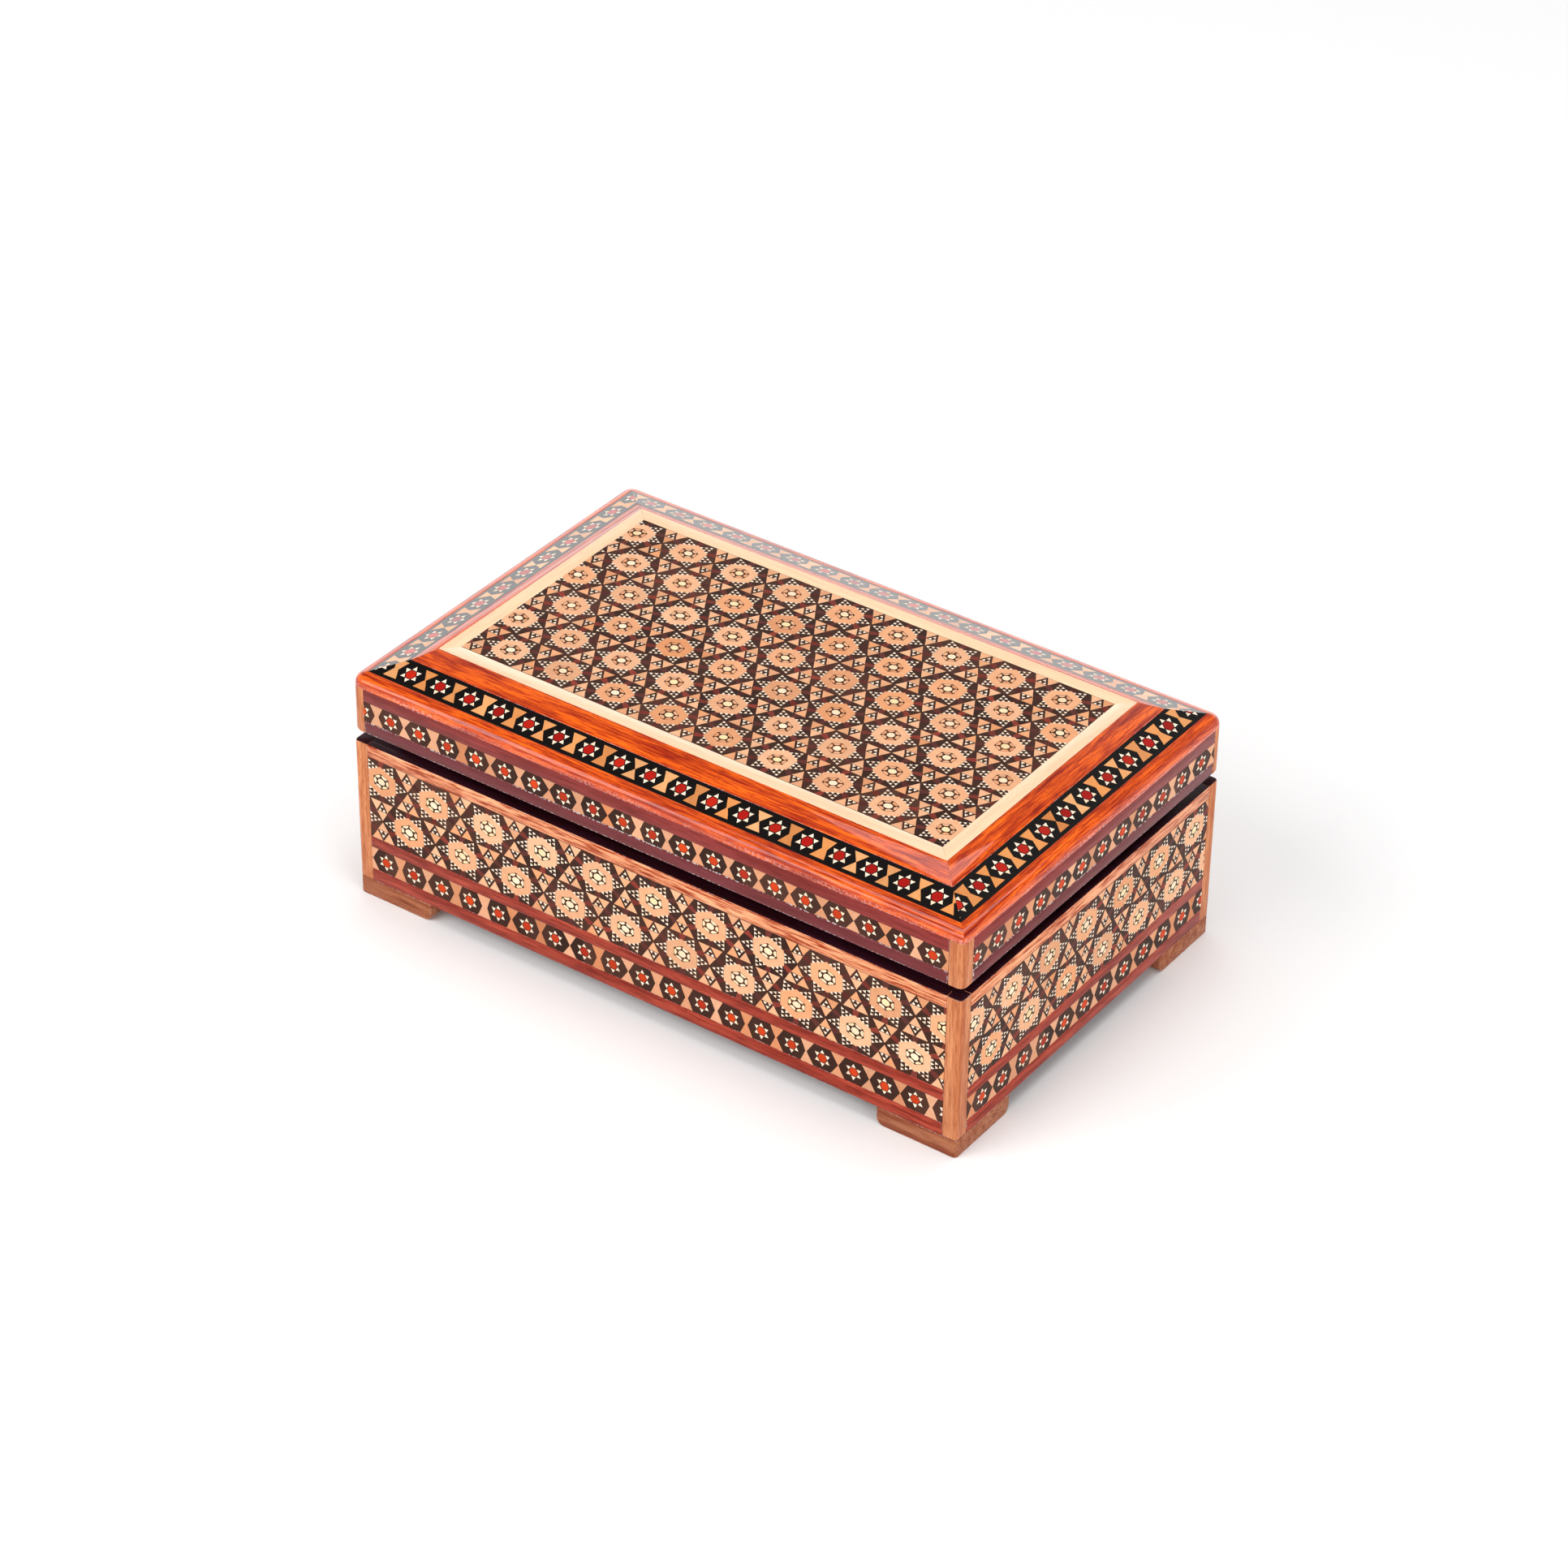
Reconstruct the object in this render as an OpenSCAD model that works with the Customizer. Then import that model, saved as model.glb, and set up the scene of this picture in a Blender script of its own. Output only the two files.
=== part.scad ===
// Hinged wooden box with inlaid marquetry faces, a raised sloping lid and four bracket feet.
// Millimetres, +Z up. The origin is the middle of the footprint, on the surface the feet stand on.
// The long side runs along X, the front faces -Y and the hinges are along the back, +Y.

/* [Box] */
// Length of the lid, left to right
box_l = 160; // [130:1:240]
// Depth of the lid, front to back
box_w = 100; // [84:1:160]
// How far the body stands in from the lid, all round
reveal = 0.3; // [0.2:0.1:0.6]
// Height of the feet
foot_h = 4.6; // [3:0.1:8]
// Height of the body's sides
body_h = 36.1; // [32:0.1:60]
// Height of the open gap between the body's rim and the lid
gap_h = 3.1; // [3:0.1:3.6]
// Height of the lid's upright sides
lid_side_h = 11.4; // [10.4:0.1:16]

/* [Walls] */
// Thickness of the plain core boards
core_t = 5; // [4.5:0.5:8]
// Thickness of the veneers and strips on the core boards
veneer_t = 2; // [1.5:0.1:2.5]
// Thickness of the lining boards inside
lining_t = 2; // [1.5:0.1:3]
// Thickness of the floor board
floor_t = 3; // [2:0.5:4]
// Height of the floor board's underside above the feet
floor_rise = 2; // [1.5:0.5:5]
// Depth of the grooves and rabbets that hold the boards together
rabbet_d = 2; // [1:0.5:2.5]
// Width of the square posts at the corners
post_w = 3.7; // [3:0.1:5]
// Radius of the posts' outer edges and of the feet below them
post_r = 1; // [0.3:0.1:1.5]

/* [Strips on the body] */
// Height of the pale strip under the rim
salmon_h = 3.2; // [2:0.1:5]
// Height of the dark strip above the stars
rail_h = 2.9; // [2:0.1:5]
// Height of the star strip
body_star_h = 5.7; // [4:0.1:8]
// Height of the dark strip at the bottom
sill_h = 3.3; // [2:0.1:5]

/* [Strips on the lid] */
// Height of the dark strip along the lid's lower edge
plum_h = 3.3; // [2:0.1:4]
// Height of the lid's star strip
lid_star_h = 4.9; // [4:0.1:5.5]

/* [Top of the lid] */
// Width of the rounded outer moulding, in plan
edge_w = 2.9; // [2.4:0.1:4]
// Height of the outer moulding at its inner side
edge_h = 2.8; // [2.8:0.1:4]
// Radius of the outer moulding's rounded edge
edge_r = 2.3; // [1:0.1:2.3]
// Radius of the lid's front right corner, in plan
corner_r = 1.6; // [0.3:0.1:2]
// Radius of the lid's other three corners, which are rounded more
worn_r = 3; // [2:0.1:3]
// Width of the star band on the slope, in plan
band_w = 6.6; // [5:0.1:9]
// Rise of the star band across its width
band_rise = 2.1; // [1.5:0.1:3]
// Width of the inner strip on the slope, in plan
inner_w = 4.3; // [3:0.1:6]
// Rise of the inner strip across its width
inner_rise = 2.3; // [2:0.1:3]
// Width of the light strip round the top panel
cream_w = 3.5; // [2:0.1:5]
// Thickness of the top panel and of the light strip
sheet_t = 2; // [1.5:0.1:2.5]
// Thickness of the star band, measured upright
band_t = 1.7; // [1.2:0.1:2]

/* [Feet] */
// Length of each arm of a bracket foot
foot_l = 20; // [12:1:24]
// Thickness of each arm
foot_t = 7; // [5:0.5:10]
// Radius of the rounded lower end of each arm
foot_r = 2; // [0.5:0.1:2.5]

/* [Hinges] */
// Distance of each hinge from the middle of the back
hinge_x = 45; // [25:1:48]
// Width of a hinge
hinge_w = 16; // [12:1:24]
// Thickness of the leaves
leaf_t = 0.7; // [0.5:0.1:0.8]
// Radius of the knuckles
knuckle_r = 1.3; // [1.1:0.05:1.3]
// Radius of the hinge pin
pin_r = 0.6; // [0.4:0.05:0.7]
// Length of a tack's shank under its leaf
tack_l = 6; // [3:0.5:7]

/* [Hidden] */
$fn = 48;

lid_x = box_l / 2;
lid_y = box_w / 2;
body_x = lid_x - reveal;
body_y = lid_y - reveal;
wall_t = veneer_t + core_t;

// Heights, from the feet up
rim_z = foot_h + body_h;
floor_z = foot_h + floor_rise;
floor_top = floor_z + floor_t;
star_z = foot_h + sill_h;
rail_z = star_z + body_star_h;
khatam_z = rail_z + rail_h;
salmon_z = rim_z - salmon_h;

lid_z = rim_z + gap_h;
lid_star_z = lid_z + plum_h;
lid_maroon_z = lid_star_z + lid_star_h;
side_top = lid_z + lid_side_h;
ledge_h = 1.4;
board_z = side_top - ledge_h;
edge_top = side_top + edge_h;
band_top = edge_top + band_rise;
lid_top = band_top + inner_rise;

// Distances in from the lid's outer edge, in plan
band_in = edge_w + band_w;
slope_w = band_in + inner_w;
panel_in = slope_w + cream_w;

// The lining boards stand proud of the rim and carry the closed lid
rest_gap = 0.05;
lining_top = lid_z - rest_gap;

// The hinge line is halfway up the gap
axis_in = 1.5;
axis_y = lid_y - axis_in;
axis_z = rim_z + gap_h / 2;
pin_clear = 0.05;
tack_clear = 0.02;
knuckle_gap = 0.2;
sweep_clear = 0.3;
leaf_reach = wall_t - axis_in - 0.4;
seg_w = hinge_w / 3;
tack_r = 0.45;
tack_head_r = 1;
tack_head_t = 0.4;
tack_y = lid_y - wall_t + 2.3;
tack_spread = hinge_w * 0.31;

SIDES = ["front", "right", "back", "left"];

// Side k is numbered as in SIDES. Half the side's own length, and its distance from the middle.
function along(k, half_x, half_y) = k % 2 == 0 ? half_x : half_y;
function away(k, half_x, half_y) = k % 2 == 0 ? half_y : half_x;

// ---- Shared shapes ----

// A board on side k, lying d0 to d1 in from the outer faces, with half length h
module side_board(k, half_x, half_y, d0, d1, h, z0, z1) {
    rotate([0, 0, 90 * k])
        translate([-h, d0 - away(k, half_x, half_y), z0])
            cube([2 * h, d1 - d0, z1 - z0]);
}

// A surface strip on side k, between the corner posts
module skin(k, half_x, half_y, z0, z1) {
    h = along(k, half_x, half_y) - post_w;
    side_board(k, half_x, half_y, 0, veneer_t, h, z0, z1);
}

module skin_ring(half_x, half_y, z0, z1) {
    for (k = [0:3])
        skin(k, half_x, half_y, z0, z1);
}

// The four square posts at the corners
module corner_posts(half_x, half_y, z0, z1) {
    for (sx = [-1, 1], sy = [-1, 1])
        translate([sx * (half_x - post_w / 2), sy * (half_y - post_w / 2), (z0 + z1) / 2])
            cube([post_w, post_w, z1 - z0], center = true);
}

// A block with the given plan and rounded corners, from z0 to z1
module round_block(half_x, half_y, r, z0, z1) {
    translate([0, 0, z0])
        linear_extrude(z1 - z0)
            union() {
                square([2 * half_x, 2 * (half_y - r)], center = true);
                square([2 * (half_x - r), 2 * half_y], center = true);
                for (sx = [-1, 1], sy = [-1, 1])
                    translate([sx * (half_x - r), sy * (half_y - r)])
                        circle(r);
            }
}

// The lid's plan: three corners rounded alike, the front right one less
module lid_block(z0, z1) {
    h = 2 * worn_r;
    round_block(lid_x, lid_y, worn_r, z0, z1);
    translate([lid_x - h, h - lid_y, 0])
        round_block(h, h, corner_r, z0, z1);
}

// A core board: front and back run to the corners, the side boards are let into them
module core_plate(k, half_x, half_y, z0, z1) {
    h = k % 2 == 0 ? half_x - veneer_t : half_y - wall_t + rabbet_d;
    side_board(k, half_x, half_y, veneer_t, wall_t, h, z0, z1);
}

module core_wall(k, half_x, half_y, z0, z1) {
    difference() {
        core_plate(k, half_x, half_y, z0, z1);
        if (k % 2 == 0)
            for (side = [1, 3])
                core_plate(side, half_x, half_y, z0, z1);
        corner_posts(half_x, half_y, z0, z1);
    }
}

// The plan of a mitred piece on side k, from d0 to d1 in from the outer faces
module mitre_plan(k, half_x, half_y, d0, d1) {
    a = along(k, half_x, half_y);
    o = away(k, half_x, half_y);
    rotate([0, 0, 90 * k])
        polygon([[d0 - a, d0 - o], [a - d0, d0 - o], [a - d1, d1 - o], [d1 - a, d1 - o]]);
}

module lining(k, half_x, half_y, z0, z1) {
    translate([0, 0, z0])
        linear_extrude(z1 - z0)
            mitre_plan(k, half_x, half_y, wall_t, wall_t + lining_t);
}

// A length of moulding along side k of the lid: outline holds [distance in, height] points
module moulding_run(k, outline) {
    a = along(k, lid_x, lid_y);
    o = away(k, lid_x, lid_y);
    rotate([0, 0, 90 * k])
        translate([-a, 0, 0])
            rotate([90, 0, 90])
                linear_extrude(2 * a)
                    polygon([for (p = outline) [p[0] - o, p[1]]]);
}

// The same moulding cut to length with a mitre at both ends
module moulding(k, outline, d0, d1) {
    intersection() {
        moulding_run(k, outline);
        translate([0, 0, board_z])
            linear_extrude(lid_top - board_z)
                mitre_plan(k, lid_x, lid_y, d0, d1);
    }
}

// ---- Outlines of the sloping border, as [distance in, height] ----

slope_angle = atan(band_rise / band_w);
round_z = edge_top - (edge_w - edge_r) * tan(slope_angle) - edge_r / cos(slope_angle);
round_steps = 8;

function round_point(i) =
    let (a = 180 - i / round_steps * (90 - slope_angle))
    [edge_r + edge_r * cos(a), round_z + edge_r * sin(a)];

edge_outline = concat(
    [[edge_w, side_top], [edge_w, edge_top]],
    [for (i = [round_steps:-1:0]) round_point(i)],
    [[0, side_top]]
);
band_outline = [
    [edge_w, edge_top - band_t],
    [band_in, band_top - band_t],
    [band_in, band_top],
    [edge_w, edge_top]
];
slope_outline = [
    [band_in, band_top - band_t],
    [slope_w, band_top - band_t],
    [slope_w, lid_top],
    [band_in, band_top]
];
cream_outline = [
    [slope_w, lid_top - sheet_t],
    [panel_in, lid_top - sheet_t],
    [panel_in, lid_top],
    [slope_w, lid_top]
];
// What the border takes out of the lid board's edges
bed_outline = [
    [0, side_top],
    [edge_w, side_top],
    [edge_w, edge_top - band_t],
    [band_in, band_top - band_t],
    [slope_w, band_top - band_t],
    [slope_w, lid_top],
    [0, lid_top]
];

// ---- Body ----

module floor_plate() {
    h_x = body_x - wall_t + rabbet_d;
    h_y = body_y - wall_t + rabbet_d;
    translate([-h_x, -h_y, floor_z])
        cube([2 * h_x, 2 * h_y, floor_t]);
}

module base_floor() {
    color("#5a2430")
        floor_plate();
}

module base_wall(k) {
    color("#a06a48")
        difference() {
            core_wall(k, body_x, body_y, foot_h, rim_z);
            floor_plate();
            if (SIDES[k] == "back")
                tack_row(rim_z - tack_l, rim_z, tack_r + tack_clear);
        }
}

module base_lining(k) {
    color("#4b1c2a")
        lining(k, body_x, body_y, floor_top, lining_top);
}

module base_khatam(k) {
    color("#c08a5c")
        skin(k, body_x, body_y, khatam_z, salmon_z);
}

module base_salmon_strips() {
    color("#c77e5f")
        skin_ring(body_x, body_y, salmon_z, rim_z);
}

module base_rail_strips() {
    color("#7c3038")
        skin_ring(body_x, body_y, rail_z, khatam_z);
}

module base_star_strips() {
    color("#33302e")
        skin_ring(body_x, body_y, star_z, rail_z);
}

module base_sill_strips() {
    color("#6e2a34")
        skin_ring(body_x, body_y, foot_h, star_z);
}

module base_posts() {
    color("#b0744f")
        intersection() {
            corner_posts(body_x, body_y, foot_h, rim_z);
            round_block(body_x, body_y, post_r, foot_h, rim_z);
        }
}

// One arm of a bracket foot, from the corner along +X, with its lower end rounded
module foot_arm() {
    translate([0, foot_t, 0])
        rotate([90, 0, 0])
            linear_extrude(foot_t)
                union() {
                    square([foot_l - foot_r, foot_h]);
                    translate([0, foot_r])
                        square([foot_l, foot_h - foot_r]);
                    translate([foot_l - foot_r, foot_r])
                        circle(foot_r);
                }
}

// A bracket foot under the corner on the sx, sy side
module foot(sx, sy) {
    color("#94603f")
        intersection() {
            translate([sx * body_x, sy * body_y, 0])
                mirror([sx > 0 ? 1 : 0, 0, 0])
                    mirror([0, sy > 0 ? 1 : 0, 0])
                        union() {
                            foot_arm();
                            mirror([1, -1, 0])
                                foot_arm();
                        }
            round_block(body_x, body_y, post_r, 0, foot_h);
        }
}

// ---- Lid ----

module lid_board() {
    h_x = lid_x - veneer_t;
    h_y = lid_y - veneer_t;
    color("#6b3a2c")
        difference() {
            translate([-h_x, -h_y, board_z])
                cube([2 * h_x, 2 * h_y, lid_top - sheet_t - board_z]);
            for (k = [0:3])
                moulding_run(k, bed_outline);
            corner_posts(lid_x, lid_y, lid_z, side_top);
        }
}

module lid_wall(k) {
    color("#a06a48")
        difference() {
            core_wall(k, lid_x, lid_y, lid_z, board_z);
            if (SIDES[k] == "back")
                tack_row(lid_z, lid_z + tack_l, tack_r + tack_clear);
        }
}

module lid_lining(k) {
    color("#4b1c2a")
        lining(k, lid_x, lid_y, lid_z, board_z);
}

module lid_maroon_strips() {
    color("#7c3038")
        skin_ring(lid_x, lid_y, lid_maroon_z, side_top);
}

module lid_star_strips() {
    color("#33302e")
        skin_ring(lid_x, lid_y, lid_star_z, lid_maroon_z);
}

module lid_plum_strips() {
    color("#5b2433")
        skin_ring(lid_x, lid_y, lid_z, lid_star_z);
}

module lid_posts() {
    color("#b0744f")
        intersection() {
            corner_posts(lid_x, lid_y, lid_z, side_top);
            lid_block(lid_z, side_top);
        }
}

module lid_edge(k) {
    color("#c2531c")
        intersection() {
            moulding(k, edge_outline, 0, edge_w);
            lid_block(side_top, edge_top);
        }
}

module lid_band(k) {
    color("#26221f")
        moulding(k, band_outline, edge_w, band_in);
}

module lid_slope(k) {
    color("#c2531c")
        moulding(k, slope_outline, band_in, slope_w);
}

module lid_cream(k) {
    color("#e8c48f")
        moulding(k, cream_outline, slope_w, panel_in);
}

module lid_khatam_top() {
    h_x = lid_x - panel_in;
    h_y = lid_y - panel_in;
    color("#c08a5c")
        translate([-h_x, -h_y, lid_top - sheet_t])
            cube([2 * h_x, 2 * h_y, sheet_t]);
}

// ---- Hinges ----

// A cylinder along the hinge line, from x0 to x1
module on_axis(x0, x1, r) {
    translate([x0, axis_y, axis_z])
        rotate([0, 90, 0])
            cylinder(r = r, h = x1 - x0);
}

// The tack shanks, or their holes, of both hinges
module tack_row(z0, z1, r) {
    for (side = [-1, 1], s = [-1, 1])
        translate([side * hinge_x + s * tack_spread, tack_y, z0])
            cylinder(r = r, h = z1 - z0);
}

// Where knuckle i of three starts, on the hinge whose middle is at cx
function seg_x(cx, i) = cx - hinge_w / 2 + i * seg_w;

// A leaf lying from z0 up, with the knuckles in own and room for those in other
module hinge_leaf(cx, z0, own, other) {
    half_gap = knuckle_gap / 2;
    slot = knuckle_r + sweep_clear;
    color("#b08a3e")
        difference() {
            union() {
                translate([cx - hinge_w / 2, axis_y - leaf_reach, z0])
                    cube([hinge_w, leaf_reach, leaf_t]);
                for (i = own)
                    on_axis(seg_x(cx, i) + half_gap, seg_x(cx, i + 1) - half_gap, knuckle_r);
            }
            for (i = other)
                translate([seg_x(cx, i), axis_y - slot, z0 - 1])
                    cube([seg_w, slot + 1, leaf_t + 2]);
            on_axis(cx - hinge_w / 2, cx + hinge_w / 2, pin_r + pin_clear);
            tack_row(z0, z0 + leaf_t, tack_r + tack_clear);
        }
}

module hinge_base_leaf(side) {
    hinge_leaf(side * hinge_x, rim_z, [0, 2], [1]);
}

module hinge_lid_leaf(side) {
    hinge_leaf(side * hinge_x, lid_z - leaf_t, [1], [0, 2]);
}

module hinge_pin(side) {
    cx = side * hinge_x;
    color("#8f6f33")
        on_axis(cx - hinge_w / 2 + knuckle_gap / 2, cx + hinge_w / 2 - knuckle_gap / 2, pin_r);
}

module base_tacks() {
    leaf_top = rim_z + leaf_t;
    color("#9c7a38")
        union() {
            tack_row(rim_z - tack_l, leaf_top + tack_head_t / 2, tack_r);
            tack_row(leaf_top, leaf_top + tack_head_t, tack_head_r);
        }
}

module lid_tacks() {
    leaf_bottom = lid_z - leaf_t;
    color("#9c7a38")
        union() {
            tack_row(leaf_bottom - tack_head_t / 2, lid_z + tack_l, tack_r);
            tack_row(leaf_bottom - tack_head_t, leaf_bottom, tack_head_r);
        }
}

// ---- Drawing ----

base_floor();
base_wall(0);  // base_wall_front
base_wall(1);  // base_wall_right
base_wall(2);  // base_wall_back
base_wall(3);  // base_wall_left
base_lining(0);  // base_lining_front
base_lining(1);  // base_lining_right
base_lining(2);  // base_lining_back
base_lining(3);  // base_lining_left
base_khatam(0);  // base_khatam_front
base_khatam(1);  // base_khatam_right
base_khatam(2);  // base_khatam_back
base_khatam(3);  // base_khatam_left
base_salmon_strips();
base_rail_strips();
base_star_strips();
base_sill_strips();
base_posts();
foot(-1, -1);  // foot_front_left
foot(1, -1);  // foot_front_right
foot(-1, 1);  // foot_back_left
foot(1, 1);  // foot_back_right
lid_board();
lid_wall(0);  // lid_wall_front
lid_wall(1);  // lid_wall_right
lid_wall(2);  // lid_wall_back
lid_wall(3);  // lid_wall_left
lid_lining(0);  // lid_lining_front
lid_lining(1);  // lid_lining_right
lid_lining(2);  // lid_lining_back
lid_lining(3);  // lid_lining_left
lid_maroon_strips();
lid_star_strips();
lid_plum_strips();
lid_posts();
lid_edge(0);  // lid_edge_front
lid_edge(1);  // lid_edge_right
lid_edge(2);  // lid_edge_back
lid_edge(3);  // lid_edge_left
lid_band(0);  // lid_band_front
lid_band(1);  // lid_band_right
lid_band(2);  // lid_band_back
lid_band(3);  // lid_band_left
lid_slope(0);  // lid_slope_front
lid_slope(1);  // lid_slope_right
lid_slope(2);  // lid_slope_back
lid_slope(3);  // lid_slope_left
lid_cream(0);  // lid_cream_front
lid_cream(1);  // lid_cream_right
lid_cream(2);  // lid_cream_back
lid_cream(3);  // lid_cream_left
lid_khatam_top();
hinge_base_leaf(-1);  // hinge_base_leaf_left
hinge_base_leaf(1);  // hinge_base_leaf_right
hinge_lid_leaf(-1);  // hinge_lid_leaf_left
hinge_lid_leaf(1);  // hinge_lid_leaf_right
hinge_pin(-1);  // hinge_pin_left
hinge_pin(1);  // hinge_pin_right
base_tacks();
lid_tacks();
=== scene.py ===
"""Hinged wooden box with inlaid marquetry: inlay, mouldings, posts, feet, hinges and a pale studio."""

from math import atan2, cos, pi, radians, sin, sqrt

import bmesh
import bpy
from bpy.props import FloatProperty, FloatVectorProperty, IntProperty, PointerProperty
from bpy.types import Operator, Panel, PropertyGroup
from mathutils import Matrix, Vector, noise


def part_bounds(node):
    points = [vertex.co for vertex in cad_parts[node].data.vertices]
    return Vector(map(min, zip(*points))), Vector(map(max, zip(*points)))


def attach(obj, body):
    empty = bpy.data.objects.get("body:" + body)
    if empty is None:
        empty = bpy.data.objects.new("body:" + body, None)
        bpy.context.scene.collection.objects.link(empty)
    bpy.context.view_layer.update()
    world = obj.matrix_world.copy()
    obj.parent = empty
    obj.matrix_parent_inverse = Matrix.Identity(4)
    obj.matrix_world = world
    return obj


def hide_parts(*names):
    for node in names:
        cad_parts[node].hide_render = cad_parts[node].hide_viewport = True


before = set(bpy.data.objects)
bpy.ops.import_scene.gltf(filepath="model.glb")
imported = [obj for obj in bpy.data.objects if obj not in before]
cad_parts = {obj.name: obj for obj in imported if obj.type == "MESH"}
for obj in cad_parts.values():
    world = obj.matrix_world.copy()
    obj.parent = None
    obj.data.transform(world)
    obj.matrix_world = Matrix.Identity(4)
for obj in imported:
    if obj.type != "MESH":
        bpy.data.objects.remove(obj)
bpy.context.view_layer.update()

bl_info = {
    "name": "Inlaid Wooden Box",
    "version": (1, 0, 0),
    "blender": (4, 5, 0),
    "location": "View3D > Sidebar > Inlaid Box",
    "description": "Lays the star inlay, shapes the woodwork and sets a pale studio round the box",
    "category": "Object",
}

MM = 0.001
MERGE = 0.002 * MM  # Corners nearer to each other than this are one corner
CUT = MERGE / 10  # Corners nearer than this to a cut lie on it
SIDES = ("front", "right", "back", "left")
BODY_X, BODY_Y, RIM_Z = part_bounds("base_posts")[1]
LID_X, LID_Y, SIDE_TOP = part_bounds("lid_posts")[1]
LID_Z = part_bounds("lid_posts")[0][2]


# ---- Settings ----


def length(name, description, default):
    """A length, given in millimetres and kept in metres."""
    return FloatProperty(name=name, description=description, default=default * MM, unit="LENGTH")


def angle(name, description, default):
    """An angle, given in degrees and kept in radians."""
    return FloatProperty(name=name, description=description, default=radians(default), unit="ROTATION")


def brightness(name, description, default):
    return FloatProperty(name=name, description=description, default=default, min=0)


def colour(name, description, default):
    """A colour as it looks on screen, from 0 to 1."""
    return FloatVectorProperty(
        name=name, description=description, default=default, subtype="COLOR_GAMMA", min=0, max=1
    )


class InlaySettings(PropertyGroup):
    """Inlay"""

    top_pitch: length("Top pitch", "Distance between medallions on the top panel", 14.15)
    long_pitch: length("Long pitch", "Distance between medallions on the front and back", 14.87)
    short_pitch: length("Short pitch", "Distance between medallions on the short sides", 14.25)
    top_rows: IntProperty(name="Top rows", description="Sticks of inlay on the top panel", default=6)
    side_rows: IntProperty(name="Side rows", description="Sticks of inlay on each side", default=2)
    side_pitch: length("Star pitch", "Distance between stars on the upright sides", 7.85)
    slope_pitch: length("Slope star pitch", "Distance between stars on the slope", 8.05)
    slope_zone: length("Slope star height", "Height of the hourglasses on the slope band", 5.1)
    side_star: length("Star radius", "Middle of a star to a tip on the upright sides", 2.1)
    slope_star: length("Slope star radius", "Middle of a star to a tip on the slope", 2.4)
    wobble: length("Wobble", "How far the hand-laid pieces wander from the pattern", 0.3)
    wander: length("Wander", "Distance over which the wandering changes", 5)


class WoodSettings(PropertyGroup):
    """Woods and brass"""

    ebony: colour("Ebony", "Black ground of the inlay", (0.22, 0.12, 0.08))
    jet: colour("Jet", "Deep black ground of the slope band", (0.035, 0.015, 0.01))
    peach: colour("Peach", "Rings and corner triangles", (0.93, 0.715, 0.56))
    bone: colour("Bone", "Small white triangles", (0.98, 0.92, 0.84))
    cream: colour("Cream", "Middle of each medallion", (0.97, 0.89, 0.77))
    umber: colour("Umber", "Dark star round the middle", (0.25, 0.12, 0.06))
    russet: colour("Russet", "Red-brown pieces in the ground", (0.34, 0.17, 0.15))
    scarlet: colour("Scarlet", "Dyed middles of the stars", (0.83, 0.26, 0.05))
    ruby: colour("Ruby", "Dyed middles of the stars on the slope", (0.68, 0.06, 0.03))
    amber: colour("Amber", "Hourglasses of the star strips", (0.89, 0.67, 0.53))
    honey: colour("Honey", "Hourglasses of the slope band", (0.89, 0.585, 0.33))
    salmon: colour("Salmon", "Strip under the rim", (0.93, 0.6, 0.42))
    maroon: colour("Maroon", "Dark red strips", (0.64, 0.22, 0.14))
    mulberry: colour("Mulberry", "Dark red strip of the lid", (0.53, 0.17, 0.15))
    plum: colour("Plum", "Strip along the lid's lower edge", (0.43, 0.16, 0.17))
    padauk: colour("Padauk", "Orange mouldings", (0.91, 0.33, 0.03))
    ivory: colour("Ivory", "Strip round the top panel", (0.96, 0.82, 0.665))
    pear: colour("Pear", "Corner posts", (0.8, 0.49, 0.31))
    walnut: colour("Walnut", "Feet", (0.65, 0.38, 0.25))
    wine: colour("Wine", "Stain on the lining, the rim and the core boards", (0.2, 0.05, 0.09))
    brass: colour("Brass", "Hinges and tacks", (0.72, 0.56, 0.3))


class JoinerySettings(PropertyGroup):
    """Edges and corners"""

    corner: length("Corner radius", "Radius of the lid's three rounder corners, in plan", 3)
    moulding_arris: length("Moulding edges", "How far the edges of the mouldings are rounded", 0.1)
    strip_arris: length("Strip edges", "How far the edges of the plain strips are rounded", 0.12)
    # The plum strips' rounded edges are painted pale with strong chipping, partly a painted highlight.
    plum_arris: length("Plum strip edges", "How far the worn edges of the plum strips are rounded", 0.35)
    post_arris: length("Post edges", "How far the edges of the posts and feet are rounded", 0.25)
    board_arris: length("Lining edges", "How far the edges of the linings are rounded", 0.15)
    # The lip band below is painted pale: partly rubbing, partly a painted highlight.
    lip: length("Worn lip", "Height of the worn lip of the outer mouldings", 0.9)


class StageSettings(PropertyGroup):
    """Stage"""

    lens: FloatProperty(name="Lens", description="Focal length", default=109.8, unit="CAMERA")
    azimuth: angle("Azimuth", "Turn of the camera", 35.203)
    elevation: angle("Elevation", "Height angle of the camera", 34.557)
    roll: angle("Roll", "Lean of the camera", 0.793)
    distance: length("Distance", "Camera to box", 1043.15)
    aim_up: length("Aim", "Height of the point that the camera is turned about", 30)
    drop: length("Drop", "How far the camera is moved down its own picture", -3.336)
    floor_shade: brightness("Floor", "Brightness of the floor", 0.94)
    horizon: brightness("Horizon", "Brightness of the studio's walls", 0.95)
    zenith: brightness("Zenith", "Brightness of the studio's ceiling", 0.12)
    screen: brightness("Screen", "Added brightness of the white wall behind", 1.25)
    key_power: FloatProperty(
        name="Key light", description="Power of the soft light", default=18.2, unit="POWER"
    )


def inlay():
    return bpy.context.scene.box_inlay


def woods():
    return bpy.context.scene.box_woods


def joinery():
    return bpy.context.scene.box_joinery


def linear(shade):
    """A screen colour as the linear RGBA that shaders take."""
    return (*(c / 12.92 if c <= 0.04045 else ((c + 0.055) / 1.055) ** 2.4 for c in shade), 1.0)


# ---- Materials ----


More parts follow.
